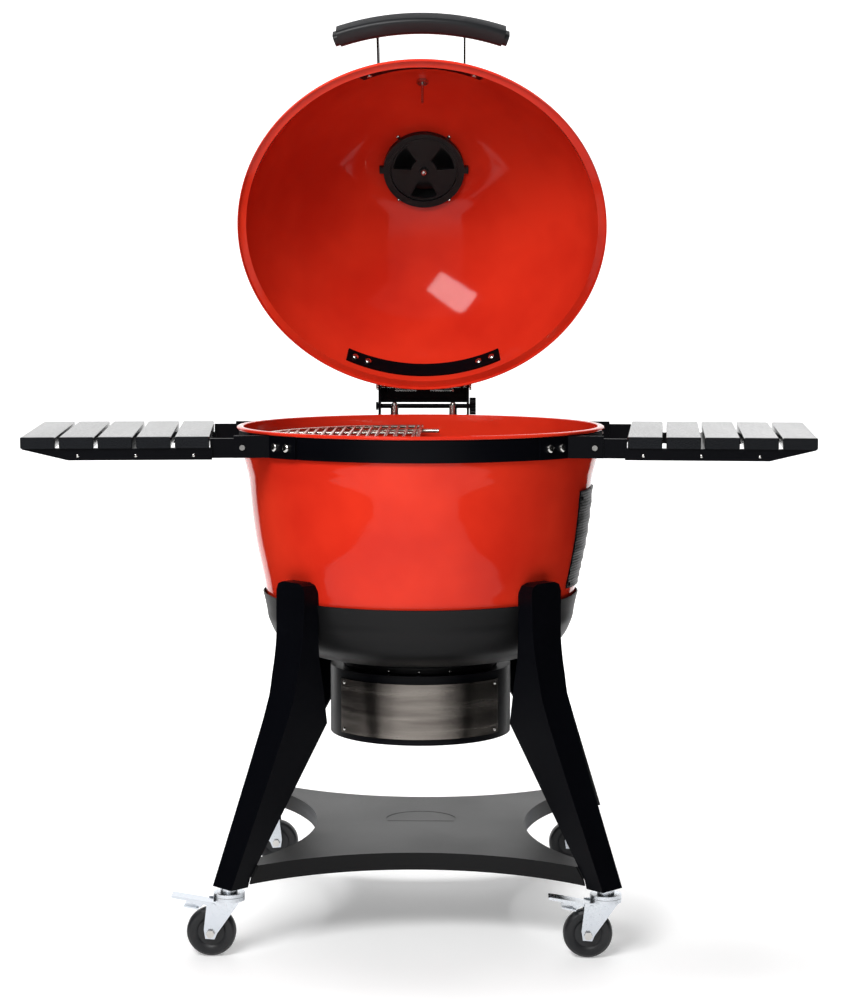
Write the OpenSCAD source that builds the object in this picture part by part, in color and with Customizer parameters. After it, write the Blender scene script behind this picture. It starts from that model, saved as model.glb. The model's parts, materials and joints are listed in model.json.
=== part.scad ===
// Hinged kettle charcoal grill on a four-leg cart, lid swung open.
// Origin: on the ground, under the middle of the grill's footprint. +Y is the back.

/* [Kettle] */
// Outer radius of the bowl's rolled rim
bowl_rim_r = 295; // [285:1:300]
// Height of the bowl's rim above the ground
bowl_rim_z = 790; // [790:1:790]
// Wall of the bowl and of the lid
shell_t = 2; // [1.5:0.1:3]
// Depth of the clamp band round the bowl
band_h = 34; // [28:1:36]
// Radius of the band's outer face
band_r = 292; // [291:0.5:293]

/* [Lid] */
// Outer radius of the lid's rim flange
lid_rim_r = 305; // [303:1:308]
// Angle of the open lid from closed
lid_open = 61; // [40:1:66]
// Hinge pin height above the ground
hinge_z = 840; // [838:1:846]
// Hinge pin distance behind the kettle's axis
hinge_y = 325; // [323:1:330]
// Radius of the hinge pin
hinge_pin_r = 5; // [4:0.5:6]
// Half the chord of the lid handle
handle_half = 139; // [120:1:145]
// Outer radius of the top vent cap
vent_cap_r = 68; // [64:1:72]

/* [Ash drum] */
// Outer radius of the ash drum
drum_r = 146; // [140:1:150]
// Underside of the ash drum
drum_z = 295; // [285:1:300]
// Height of the ash drum
drum_h = 110; // [105:1:112]
// Half the width of the ash drawer's pan
pan_half = 108; // [95:1:112]

/* [Legs and shelf] */
// Distance of each caster stem from the kettle's axis
stem_r = 404; // [396:1:410]
// Width of a leg at its top
leg_w_top = 66; // [60:1:70]
// Width of a leg at its foot
leg_w_foot = 44; // [40:1:50]
// Top face of the lower shelf
low_shelf_z = 137; // [130:1:142]
// Skirt depth of the lower shelf
low_shelf_skirt = 27; // [20:1:30]

/* [Side shelves] */
// Length of each slat
slat_l = 400; // [340:5:420]
// Width of each slat
slat_w = 52.5; // [46:0.5:54]
// Number of slats on each side
slat_n = 5; // [3:1:5]
// Distance from one slat to the next
slat_pitch = 58.5; // [56:0.5:59]
// Thickness of a slat
slat_t = 18; // [15:1:19]
// Top face of the slats
slat_z = 785; // [783:1:787]
// Sweep of each side shelf
sweep = 5; // [4:0.1:7]

/* [Casters] */
// Radius of a caster wheel
wheel_r = 37.5; // [35:0.5:38]
// Width of a caster wheel
wheel_w = 24; // [20:1:26]
// Trail of a caster wheel behind its stem
trail = 27; // [22:1:32]

/* [Hidden] */
$fn = 96;
// Kettle axis in front of the origin, so that the origin is in the middle of the footprint
ky = -54;
// Clearances
run_fit = 0.05;
seat = 0.1;
gap = 0.6;
// Bowl
wall = shell_t;
rim_z = bowl_rim_z;
band_z = rim_z - 5;
// Outer profile of the bowl below the rim, as corner points of a smooth curve
bowl_pts = [[286.5, rim_z - 4.9], [286, rim_z - 39], [281.5, rim_z - 61], [276, rim_z - 86],
    [271.5, rim_z - 134], [265.5, rim_z - 181], [258, rim_z - 219], [252.5, rim_z - 245],
    [248, rim_z - 270], [239, rim_z - 312], [221, rim_z - 339], [190, rim_z - 352],
    [150, rim_z - 359], [112, rim_z - 362]];
cover_pts = [[254.5, 524], [252, 514], [249, 500], [244.5, 478], [228, 449], [194, 430],
    [155, 421], [128, 417], [124.5, 411], [124.5, 405.3]];
// Lid
lid_seat_z = rim_z + 7;
dome_r = 298;
dome_z = rim_z - 48;
dome_in = dome_r - wall;
vent_hole_r = 62.5;
// Legs
leg_top_z = 560;
foot_z = 105;
knee_z = 338;
// Side shelf pivots
pivot_x = 286.6;
pivot_z = 767;
arm_y = 185;
// Casters
fork_top_z = 94;
tyre_z = wheel_r;

// Smooth curve through points
function mix4(a, b, c, d, t) = 0.5 * (2 * b + (c - a) * t + (2 * a - 5 * b + 4 * c - d) * t * t
    + (3 * b - a - 3 * c + d) * t * t * t);
function at(p, i) = p[max(0, min(len(p) - 1, i))];
function smooth(p, n) = [for (i = [0 : len(p) - 2], k = [0 : n - 1])
    mix4(at(p, i - 1), at(p, i), at(p, i + 1), at(p, i + 2), k / n), p[len(p) - 1]];
// Curve moved sideways by t, to the right of its direction
function side(p, i) = let (d = at(p, i + 1) - at(p, i - 1)) [d[1], -d[0]] / norm(d);
function shift_curve(p, t) = [for (i = [0 : len(p) - 1]) p[i] + t * side(p, i)];
function back(p) = [for (i = [len(p) - 1 : -1 : 0]) p[i]];

module kettle() translate([0, ky, 0]) children();
module opened() kettle() translate([0, hinge_y, hinge_z]) rotate([-lid_open, 0, 0])
    translate([0, -hinge_y, -hinge_z]) children();
// Turned from the front (-Y) towards +X
module az(a) rotate([0, 0, a]) children();
module arc_wall(r0, r1, z0, z1, a0, a1) rotate([0, 0, a0 - 90]) rotate_extrude(angle = a1 - a0)
    translate([r0, z0]) square([r1 - r0, z1 - z0]);
module ring(r0, r1, z0, z1) rotate_extrude() translate([r0, z0]) square([r1 - r0, z1 - z0]);
module rounded(w, h, r) union() {
    square([w - 2 * r, h], center = true);
    square([w, h - 2 * r], center = true);
    for (x = [-1, 1], y = [-1, 1]) translate([x * (w / 2 - r), y * (h / 2 - r)]) circle(r, $fn = 32);
}
// Bolt with a domed head, its head's underside at the origin, shank towards -Z
module bolt(head_r, head_h, shank_r, shank_l) {
    rotate_extrude() polygon(concat([[0, 0], [head_r, 0], [head_r, head_h * 0.35]],
        [for (a = [20 : 20 : 80]) [head_r * cos(a), head_h * (0.35 + 0.65 * sin(a))]],
        [[0, head_h]]));
    if (shank_l > 0) translate([0, 0, -shank_l]) cylinder(r = shank_r, h = shank_l);
}
// Rod from one point to another
module rod(a, b, r) {
    d = b - a;
    l = norm(d);
    translate(a) rotate([0, acos(d[2] / l), atan2(d[1], d[0])]) cylinder(r = r, h = l, $fn = 24);
}

// Kettle bowl
bowl_out = smooth(bowl_pts, 4);
cover_out = smooth(cover_pts, 4);
module bowl_solid(grow) rotate_extrude() polygon(concat([[0, rim_z - 362]],
    back(shift_curve(bowl_out, -grow)), [[0, rim_z - 6]]));
module cover_solid(grow) rotate_extrude() polygon(concat([[0, 405]],
    back(shift_curve(cover_out, -grow)), [[254.6, 524.6], [0, 524.6]]));
module kettle_bowl() color("tomato") kettle() difference() {
    rotate_extrude() polygon(concat(bowl_out, back(shift_curve(bowl_out, wall)),
        [[284.5, rim_z], [288, rim_z + 1], [bowl_rim_r - 2, rim_z + 0.6], [bowl_rim_r, rim_z - 1.5],
        [bowl_rim_r - 0.6, rim_z - 4], [bowl_rim_r - 2.5, rim_z - 4.5]]));
    for (k = [0 : 3], z = [536, 551]) az(45 + 90 * k) translate([0, 0, z]) rotate([90, 0, 0])
        cylinder(r = 4 + run_fit, h = 300);
}
module lower_bowl() color("#26272a") kettle() difference() {
    rotate_extrude() polygon(concat(cover_out, back(shift_curve(cover_out, wall))));
    for (k = [0 : 3], z = [536, 551]) az(45 + 90 * k) translate([0, 0, z]) rotate([90, 0, 0])
        cylinder(r = 4 + run_fit, h = 300);
}
module clamp_band() color("#2f3038") kettle() difference() {
    ring(286.8, band_r, band_z - band_h, band_z);
    for (s = [-1, 1], a = [42.6, 47.9]) az(s * a) translate([0, 0, band_z - band_h / 2])
        rotate([90, 0, 0]) cylinder(r = 3 + run_fit, h = 310);
}

// Folding side shelf mounts
module to_shelf(s) kettle() translate([s * pivot_x, 0, 0]) rotate([0, 0, -s * sweep])
    mirror([s < 0 ? 1 : 0, 0, 0]) children();
module bracket_plates() for (y = [-1, 1]) for (o = [-5.2, 3.2])
    translate([-95, y * arm_y + o, band_z - band_h])
        cube([108, 2, band_h]);
module band_brackets() color("#2b2c33") difference() {
    union() {
        kettle() for (s = [0, 1]) mirror([s, 0, 0]) {
            arc_wall(band_r + seat, band_r + 3, band_z - band_h, band_z, 39, 60);
            arc_wall(band_r + seat, band_r + 3, band_z - band_h, band_z, 118, 146);
        }
        difference() {
            for (s = [-1, 1]) to_shelf(s) bracket_plates();
            kettle() translate([0, 0, band_z - band_h - 1]) cylinder(r = band_r + seat, h = band_h + 2);
        }
    }
    for (s = [-1, 1], y = [-1, 1]) to_shelf(s) translate([0, y * arm_y, pivot_z])
        rotate([90, 0, 0]) cylinder(r = 3.2, h = 30, center = true);
    kettle() for (s = [-1, 1], a = [42.6, 47.9]) az(s * a)
        translate([0, 0, band_z - band_h / 2]) rotate([90, 0, 0]) cylinder(r = 3 + run_fit, h = 310);
}
module band_bolts() color("silver") kettle() {
    for (s = [-1, 1], a = [42.6, 47.9]) az(s * a) translate([0, -band_r - 3, band_z - band_h / 2])
        rotate([90, 0, 0]) bolt(6.5, 6, 3, 5.5);
    for (s = [-1, 1], a = [56]) az(s * a) translate([0, -band_r - 3, band_z - 7])
        rotate([90, 0, 0]) bolt(3, 2, 2, 0);
}
module shelf_pins() color("silver") for (s = [-1, 1], y = [-1, 1]) to_shelf(s)
    translate([0, y * arm_y - 6.5 * y, pivot_z]) rotate([y * 90, 0, 0])
        union() {
            translate([0, 0, -13]) cylinder(r = 3.2, h = 14);
            translate([0, 0, -15.4]) cylinder(r = 4.2, h = 2.2);
        }

// Legs: a radial profile crossed with a tapered front view, hollow and open on the inner side
leg_out = smooth([[278, leg_top_z], [279, 520], [281, 470], [291, 415], [311.5, 346],
    [418, foot_z]], 3);
leg_in = [[385, foot_z], [381, 118], [228, knee_z], [238, 400], [246, 440], [249, 480],
    [250, leg_top_z]];
module leg_outline() rotate([90, 0, 0]) translate([0, 0, -60]) linear_extrude(120)
    polygon(concat(leg_out, leg_in));
module leg_front(w0, w1) rotate([90, 0, 90]) linear_extrude(450) union() {
    polygon([[-w1 / 2, foot_z - 1], [w1 / 2, foot_z - 1], [w0 / 2, leg_top_z - 14],
        [w0 / 2 - 4, leg_top_z - 4], [w0 / 2 - 14, leg_top_z], [-w0 / 2 + 14, leg_top_z],
        [-w0 / 2 + 4, leg_top_z - 4], [-w0 / 2, leg_top_z - 14]]);
}
module leg_body() difference() {
    intersection() {
        leg_outline();
        leg_front(leg_w_top, leg_w_foot);
    }
    intersection() {
        rotate([90, 0, 0]) translate([0, 0, -60]) linear_extrude(120)
            polygon([[378, foot_z + 9], [409, foot_z + 9], [308, 344], [287.5, 415], [277, 470],
                [275, 515], [200, 515], [200, 330], [360, foot_z + 9]]);
        leg_front(leg_w_top - 6, leg_w_foot - 6);
    }
    bowl_solid(seat);
    cover_solid(seat);
    for (z = [536, 551]) translate([240, 0, z]) rotate([0, 90, 0])
        cylinder(r = 4 + run_fit, h = 31);
    translate([stem_r, 0, foot_z - 1]) cylinder(r = 6, h = 12);
}
module leg(a) color("#232429") kettle() az(a) rotate([0, 0, -90]) leg_body();
module leg_front_left() leg(-45);
module leg_front_right() leg(45);
module leg_rear_left() leg(-135);
module leg_rear_right() leg(135);
module leg_bolts() color("#8d8d90") kettle() for (k = [0 : 3]) for (q = [[536, 247], [551, 249.9]])
    az(45 + 90 * k) translate([0, -q[1], q[0]]) rotate([-90, 0, 0]) bolt(7.5, 5, 4, 18);

// Lower shelf
module shelf_plan(grow) difference() {
    polygon([for (p = [[-1, -1], [1, -1], [1, 1], [-1, 1]], k = [0, 1])
        let (a = k == (p[0] * p[1] > 0 ? 0 : 1) ? 282 : 242) [p[0] * a, p[1] * (545 - a)]]);
    for (s = [-1, 1]) translate([0, s * (196 + 390)]) circle(390 + grow);
    for (s = [-1, 1]) translate([s * (170 + 390), 0]) circle(390 + grow);
}
module lower_shelf() color("#3a3b3f") kettle() translate([0, 0, low_shelf_z - low_shelf_skirt])
    difference() {
        linear_extrude(low_shelf_skirt) shelf_plan(0);
        translate([0, 0, -1]) linear_extrude(low_shelf_skirt - 1) shelf_plan(3);
        for (s = [0 : 3]) az(45 + 90 * s) rotate([0, 0, -90]) translate([0, 50, low_shelf_skirt - low_shelf_z])
            rotate([90, 0, 0]) linear_extrude(100) polygon([[384.4, 90], [384.4, 105], [380.4, 118],
                [366.9, 137.5], [366.9, 150], [450, 150], [450, 90]]);
        translate([0, 16, low_shelf_skirt - 0.6]) linear_extrude(2) difference() {
            moon(57, 72);
            moon(54.5, 69.5);
        }
    }
module moon(w, h) intersection() {
    translate([0, h - w * w / h / 2 - h / 2]) circle(w * w / h / 2 + h / 2);
    translate([-w, 57 - w]) square([2 * w, h]);
}

// Ash drum with its drawer
face_a = 57.6;
face_z0 = drum_z + 10;
face_z1 = drum_z + 97;
mouth_z0 = face_z0 + 3;
mouth_z1 = face_z1 - 5;
mouth_a = 52;
module ash_drum() color("#2b2b2e") kettle() difference() {
    union() {
        ring(drum_r - 2, drum_r, drum_z, drum_z + drum_h);
        cylinder_at(drum_z, drum_r, 2);
        ring(118, drum_r, drum_z + drum_h - 2, drum_z + drum_h);
        ring(115, 118, drum_z + drum_h - 2, 427.6);
        for (x = [-95, 85]) translate([x, -100, drum_z + 1]) cube([10, 200, mouth_z0 - drum_z - 1]);
    }
    arc_wall(drum_r - 6, drum_r + 6, mouth_z0, mouth_z1, -mouth_a, mouth_a);
}
module cylinder_at(z, r, h) translate([0, 0, z]) cylinder(r = r, h = h);
module neck_rivets() color("silver") kettle() for (a = [-23, 0, 23, 157, 180, 203])
    az(a) translate([0, -124.52, 408]) rotate([90, 0, 0]) bolt(2.6, 2, 1.5, 0);
module pan_plan(r, half) intersection() {
    circle(r);
    translate([-half, -r]) square([2 * half, 2 * r]);
}
pan_z = mouth_z0 + gap;
pan_h = 64;
module ash_drawer() color("#55565a") kettle() {
    difference() {
        translate([0, 0, pan_z]) linear_extrude(pan_h) pan_plan(drum_r - 4, pan_half);
        translate([0, 0, pan_z + 1.2]) linear_extrude(pan_h) pan_plan(drum_r - 5.2, pan_half - 1.2);
    }
    arc_wall(drum_r - 5.2, drum_r + gap, pan_z, mouth_z1 - gap, -mouth_a + 1, mouth_a - 1);
}
module drawer_face() color("#b5a89c") kettle()
    arc_wall(drum_r + gap, drum_r + gap + 1.6, face_z0, face_z1, -face_a, face_a);
module face_rivets() color("silver") kettle() for (s = [-1, 1], z = [face_z0 + 6, face_z1 - 6])
    az(s * 53.5) translate([0, -drum_r - gap - 1.6, z]) rotate([90, 0, 0]) bolt(2.8, 1.8, 1.5, 0);

// Side plate riveted to the bowl
module side_plate() color("#202024") kettle() {
    rotate([0, 0, 66 - 90]) rotate_extrude(angle = 30) polygon(concat(
        [for (i = [13 : 29]) bowl_out[i] + [0.25, 0]],
        [for (i = [29 : -1 : 13]) bowl_out[i] + [2.2 + 1.2 * (i % 2), 0]]));
    for (a = [68, 94], i = [14, 28]) az(a) translate([0, -bowl_out[i][0] - 2.4, bowl_out[i][1]])
        rotate([90, 0, 0]) bolt(3, 2.4, 1.5, 0);
}

// Inside the bowl
module ember_ring() color("#4a4a4c") kettle() ring(175, 178, 452, 520);
module fire_grate() color("#6b6b6d") kettle() union() {
    ring(196, 202, 446, 452);
    difference() {
        ring(60, 201, 447, 451);
        for (k = [0 : 17]) az(20 * k) translate([-4, -170, 440]) cube([8, 85, 20]);
    }
}
upper_z = 764;
lower_z = 728;
module grate_rack() color("#8c8c8e") kettle() union() {
    rotate([0, 0, 84]) rotate_extrude(angle = 192) translate([262, upper_z]) circle(3.5, $fn = 24);
    rotate_extrude() translate([254, lower_z]) circle(3.5, $fn = 24);
    rotate_extrude() translate([257.5, 600]) circle(3.5, $fn = 24);
    for (a = [40, 140, 220, 320]) az(a) rod([0, -255, lower_z], [0, -257.4, 600], 3);
    for (a = [190, 235, 270, 305, 350]) az(a) rod([0, -261.5, upper_z], [0, -255, lower_z - 1], 3);
}
module half_wires(r) union() {
    for (i = [0 : 15]) let (x = -12 - 15 * i, l = sqrt(pow(r, 2) - x * x)) rod([x, -l, 0], [x, l, 0], 2.5);
    rotate([0, 0, 90]) rotate_extrude(angle = 180) translate([r, 0]) circle(3.2, $fn = 24);
    rod([-4, -r, 0], [-4, r, 0], 3.2);
    for (y = [-120, 0, 120]) rod([-4, y, -2.2], [-sqrt(pow(r - 2.3, 2) - y * y), y, -2.2], 2.5);
}
module half_grate_left() color("#b9b4ac") kettle() translate([0, 0, upper_z + 7.4]) half_wires(261);
module half_grate_right() color("#b9b4ac") kettle() rotate([0, 0, 180])
    translate([0, 0, lower_z + 7.4]) half_wires(253.5);

// Lid, drawn closed and swung open by opened()
function dome_arc(r, z0, z1, n) = let (a0 = asin((z0 - dome_z) / r), a1 = asin((z1 - dome_z) / r))
    [for (i = [0 : n]) let (a = a0 + (a1 - a0) * i / n) [r * cos(a), dome_z + r * sin(a)]];
function dome_top(r, rr) = dome_z + sqrt(r * r - rr * rr);
module dome_solid(r) translate([0, 0, dome_z]) sphere(r);
// Patch of sheet that lies on the dome, between two heights and two azimuths
module dome_patch(r0, r1, z0, z1, a0, a1) rotate([0, 0, a0 - 90]) rotate_extrude(angle = a1 - a0)
    polygon(concat(dome_arc(r0, z0, z1, 6), back(dome_arc(r1, z0, z1, 6))));
// Along the dome's normal at an azimuth and height, origin on the surface of radius r
module on_dome(a, z, r) az(a) translate([0, 0, dome_z])
    rotate([90 - asin((z - dome_z) / dome_r), 0, 0]) translate([0, 0, r]) children();

strip_a = [19.8, 24.6];
handle_a = [20.5];
thermo_z = 968;
module lid_shell() color("tomato") opened() difference() {
    rotate_extrude() polygon(concat(dome_arc(dome_r, lid_seat_z + 3, dome_top(dome_r, vent_hole_r), 28),
        back(dome_arc(dome_in, lid_seat_z, dome_top(dome_in, vent_hole_r), 28)),
        [[lid_rim_r - 2, lid_seat_z], [lid_rim_r - 2, lid_seat_z - 5.5],
        [lid_rim_r, lid_seat_z - 5.5], [lid_rim_r, lid_seat_z + 1.5],
        [lid_rim_r - 1.2, lid_seat_z + 2.6]]));
    for (s = [-1, 1], a = strip_a) on_dome(180 + s * a, 822, 290) cylinder(r = 3 + run_fit, h = 12);
    for (s = [-1, 1], a = handle_a) on_dome(s * a, 907, 290) cylinder(r = 3 + run_fit, h = 12);
    for (a = [36, 144, 216, 324]) on_dome(a, dome_top(dome_r, 75), 290)
        cylinder(r = 2 + run_fit, h = 12);
    on_dome(0, thermo_z, 285) cylinder(r = 5.1, h = 20);
}
module handle_strip() color("#232429") opened() difference() {
    dome_patch(dome_in - 2.2, dome_in - seat, 894, 920, -24, 24);
    for (s = [-1, 1], a = handle_a) on_dome(s * a, 907, 285) cylinder(r = 3 + run_fit, h = 20);
}
module hinge_strip() color("#1f2023") opened() difference() {
    dome_patch(dome_in - 3.2, dome_in - seat, 809, 834, 180 - 27.5, 180 + 27.5);
    for (s = [-1, 1], a = strip_a) on_dome(180 + s * a, 822, 285) cylinder(r = 3 + run_fit, h = 20);
}
module lid_bolts() color("silver") opened() {
    for (s = [-1, 1], a = strip_a) {
        on_dome(180 + s * a, 822, dome_in - 3.4) mirror([0, 0, 1]) bolt(5.5, 4, 3, 0);
        on_dome(180 + s * a, 822, dome_in - 3.4) cylinder(r = 3, h = 9.2);
        on_dome(180 + s * a, 822, dome_r + 3.4) cylinder(r = 5.5, h = 3, $fn = 6);
    }
    for (s = [-1, 1], a = handle_a) {
        on_dome(s * a, 907, dome_in - 2.4) mirror([0, 0, 1]) bolt(5, 3.5, 3, 0);
        on_dome(s * a, 907, dome_in - 2.4) cylinder(r = 3, h = 8.8);
        on_dome(s * a, 907, dome_r + 3.6) bolt(6, 5, 3, 0);
    }
    for (a = [36, 144, 216, 324]) on_dome(a, dome_top(dome_r, 75), dome_in - 0.3)
        union() {
            mirror([0, 0, 1]) bolt(3.6, 2.6, 2, 0);
            cylinder(r = 2, h = 5.5);
        }
}
bar_z = 880;
bar_y = -327;
bar_r = 400;
bar_a = asin(handle_half / bar_r);
module handle_brackets() color("#1c1d20") opened() difference() {
    union() {
        for (s = [-1, 1]) translate([s * 70 - 1.5, 0, 0]) rotate([90, 0, 90]) linear_extrude(3)
            polygon([[-317, 867], [-326, 872], [-326, 888], [-317, 893], [-280, 915], [-240, 926],
                [-225, 915], [-245, 890], [-262, 875]]);
        for (s = [-1, 1]) dome_patch(dome_r + seat, dome_r + 3.2, 894, 920,
            min(s * 15.6, s * 24), max(s * 15.6, s * 24));
    }
    dome_solid(dome_r + seat);
    for (s = [-1, 1], a = handle_a) on_dome(s * a, 907, 285) cylinder(r = 3 + run_fit, h = 25);
    translate([0, bar_y + bar_r, bar_z]) handle_bar(0.1, bar_a + 1);
}
module handle_bar(grow, a) rotate([0, 0, -90 - a]) rotate_extrude(angle = 2 * a)
    translate([bar_r + 3, 0]) rounded(28 + 2 * grow, 32 + 2 * grow, 7);
module lid_handle() color("#2a2b2e") opened() translate([0, bar_y + bar_r, bar_z])
    union() {
        handle_bar(0, bar_a - 1.2);
        for (s = [-1, 1]) rotate([0, 0, s * (bar_a - 1.25)]) translate([0, -bar_r - 1, 0])
            rotate([0, s * 90, 0]) linear_extrude(8.5) rounded(27, 20, 7);
    }

// Top vent, on the lid's axis
module vent_windows(z0, z1) for (a = [60, 180, 300]) arc_wall(22, 53, z0, z1, a - 26, a + 26);
module vent_collar() color("#2a2a2c") opened() difference() {
    union() {
        ring(58, 62, 1016, 1058);
        intersection() {
            ring(61, 70, 1017, 1036);
            dome_solid(dome_in - seat);
        }
        intersection() {
            for (s = [-1, 1]) translate([s * 72 - 5, -6, 1020]) cube([10, 12, 20]);
            dome_solid(dome_in - seat);
        }
        intersection() {
            ring(61, 76, 1026, 1040);
            difference() {
                dome_solid(dome_r + 3);
                dome_solid(dome_r + seat);
            }
        }
        difference() {
            ring(5.05, 59, 1022, 1024.5);
            vent_windows(1021, 1026);
        }
    }
    for (a = [36, 144, 216, 324]) on_dome(a, dome_top(dome_r, 75), 290)
        cylinder(r = 2 + run_fit, h = 12);
}
module vent_disc() color("#3a3a3c") opened() difference() {
    ring(5.05, 56.5, 1019.2, 1021.4);
    for (a = [60, 180, 300]) arc_wall(22, 53, 1018, 1023, a - 26, a + 26);
}
module vent_cap() color("#2a2a2c") opened() union() {
    difference() {
        union() {
            ring(vent_cap_r - 3, vent_cap_r, 1046, 1078);
            rotate_extrude() polygon([[0, 1076], [vent_cap_r, 1076], [vent_cap_r - 1, 1082],
                [vent_cap_r - 7, 1087], [30, 1091], [0, 1092]]);
        }
        for (k = [0 : 5]) az(60 * k) translate([-13, -vent_cap_r - 2, 1062]) cube([26, 12, 10]);
    }
    for (k = [0 : 5]) az(60 * k + 30) translate([-2, -vent_cap_r - 3, 1048]) cube([4, 5, 32]);
    cylinder_at(1014, 5, 64);
    translate([0, 0, 1012]) cylinder(r = 7.5, h = 7, $fn = 6);
}

// Thermometer in the lid's front
module thermo_case() color("silver") opened() on_dome(0, thermo_z, dome_r + 0.4) difference() {
    union() {
        cylinder(r = 8, h = 6);
        translate([0, 0, 3]) cylinder(r = 30, h = 3);
        ring(28, 31, 3, 14);
    }
    translate([0, 0, -1]) cylinder(r = 1.6, h = 9);
}
module thermo_face() color("ivory") opened() on_dome(0, thermo_z, dome_r + 0.4) union() {
    translate([0, 0, 6]) ring(1.6, 27.9, 0, 1);
}
module thermo_needle() color("crimson") opened() on_dome(0, thermo_z, dome_r + 0.4) union() {
    rotate([0, 0, 135]) translate([0, 0, 7.6]) linear_extrude(0.8) polygon([[-1.4, -7], [1.4, -7], [0.3, 24], [-0.3, 24]]);
    translate([0, 0, 7.3]) cylinder(r = 3, h = 2);
    translate([0, 0, 5]) cylinder(r = 1.4, h = 3);
}
module thermo_stem() color("silver") opened() on_dome(0, thermo_z, 0) union() {
    translate([0, 0, dome_in - 6.2]) cylinder(r = 10, h = 5.6, $fn = 6);
    translate([0, 0, dome_in - 41]) cylinder(r = 2.5, h = 36);
    translate([0, 0, dome_in - 2]) cylinder(r = 5, h = 4.3);
}

// Hinge
ear_x = 64;
cheek_x = 75;
bolt_y = 334;
bolt_z = 803;
module hinge_arm() color("#202124") opened() difference() {
    union() {
        dome_patch(dome_r + seat, dome_r + 3.2, 808, 848, 180 - 27, 180 + 27);
        for (s = [-1, 1]) translate([s > 0 ? ear_x : -ear_x - 4, 0, 0]) rotate([90, 0, 90])
            linear_extrude(4) polygon([[270, 812], [300, 824], [322, 827], [333, 830], [338, 840],
                [335, 849], [325, 853], [300, 856], [262, 852]]);
    }
    dome_solid(dome_r + seat);
    translate([0, hinge_y, hinge_z]) rotate([0, 90, 0])
        cylinder(r = hinge_pin_r + run_fit, h = 200, center = true);
    for (s = [-1, 1], a = strip_a) on_dome(180 + s * a, 822, 285) cylinder(r = 3 + run_fit, h = 25);
}
module hinge_base() color("#1f2023") kettle() difference() {
    union() {
        for (s = [-1, 1]) translate([s > 0 ? cheek_x : -cheek_x - 4, 0, 0]) rotate([90, 0, 90])
            linear_extrude(4) polygon([[270, band_z - 30], [270, 782], [303, 784], [312, 796],
                [309, 838], [314, 853], [325, 858], [336, 853], [342, 840], [344, 800],
                [344, band_z - 30]]);
        translate([-cheek_x, 300, 782]) cube([2 * cheek_x, 44, 3]);
        translate([-cheek_x, 341, 757]) cube([2 * cheek_x, 3, 27]);
        translate([-cheek_x, 340, 809]) cube([2 * cheek_x, 3, 36]);
        arc_wall(band_r + seat, band_r + 3, band_z - 32, band_z - 2, 160, 200);
        difference() {
            translate([-cheek_x, 270, 757]) cube([2 * cheek_x, 74, 3]);
            cylinder_at(750, band_r + seat, 20);
        }
    }
    cylinder_at(740, band_r + seat, 80);
    translate([0, hinge_y, hinge_z]) rotate([0, 90, 0]) cylinder(r = hinge_pin_r, h = 200, center = true);
    translate([0, bolt_y, bolt_z]) rotate([0, 90, 0]) cylinder(r = 4 + run_fit, h = 200, center = true);
}
module hinge_pin() color("silver") kettle() translate([0, hinge_y, hinge_z]) rotate([0, 90, 0])
    union() {
        cylinder(r = hinge_pin_r, h = 2 * cheek_x + 14, center = true);
        for (s = [-1, 1]) translate([0, 0, s * (cheek_x + 6.4)]) cylinder(r = 9, h = 3.6, center = true);
    }
module hinge_spacers() color("silver") kettle() for (s = [-1, 1]) translate([s * 51, 318, 785])
    union() {
        cylinder(r = 7, h = 20);
        translate([0, 0, 20]) bolt(5, 6, 4, 0);
    }
spring_n = 9;
module hinge_spring() color("#77777a") kettle() translate([0, hinge_y, hinge_z])
    for (s = [-1, 1], k = [0 : spring_n - 1]) translate([s * (14 + 4.2 * k), 0, 0]) rotate([0, 90, 0])
        rotate_extrude() translate([9.5, 0]) circle(2.1, $fn = 24);
module hinge_knob() color("#232428") kettle() translate([0, bolt_y, bolt_z]) rotate([0, 90, 0])
    union() {
        difference() {
            translate([0, 0, cheek_x + 5]) union() {
                cylinder(r = 12, h = 11);
                for (k = [0 : 5]) rotate([0, 0, 60 * k]) translate([11, 0, 0]) cylinder(r = 4, h = 11);
            }
        }
        cylinder(r = 4, h = 2 * cheek_x + 12, center = true);
        translate([0, 0, -cheek_x - 9]) cylinder(r = 7, h = 4, $fn = 6);
    }

// Side shelves, drawn on the right in their own frame with the fold axis along Y
slat_x0 = 50;
module shelf_frame() {
    rail_x1 = slat_x0 + slat_pitch * (slat_n - 1) + slat_w;
    for (y = [-1, 1]) {
        difference() {
            translate([0, y * (slat_l / 2 - 12), 0]) rotate([90, 0, 0]) translate([0, 0, -8])
                linear_extrude(16) polygon([[slat_x0 - 4, 749], [rail_x1 - 72, 749],
                    [rail_x1 - 2, slat_z - slat_t - 1], [rail_x1 - 2, slat_z - slat_t],
                    [slat_x0 - 4, slat_z - slat_t]]);
            translate([slat_x0 - 3, y * (slat_l / 2 - 12) - 6, 740]) cube([rail_x1 - 80, 12, 22]);
        }
        difference() {
            union() {
                translate([0, y * arm_y - 3, 0]) rotate([90, 0, 0]) translate([0, 0, -6])
                    linear_extrude(6) polygon([[-15, 754], [-12, 751], [slat_x0 + 6, 751],
                        [slat_x0 + 6, slat_z - slat_t], [slat_x0 - 1, slat_z - slat_t],
                        [slat_x0 - 1, 781], [-12, 781], [-15, 778]]);
            }
            translate([0, y * arm_y, pivot_z]) rotate([90, 0, 0])
                cylinder(r = 3.2 + run_fit, h = 30, center = true);
        }
    }
    translate([slat_x0 + 100, -slat_l / 2 + 20, slat_z - slat_t - 4]) cube([30, slat_l - 40, 4]);
}
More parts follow.
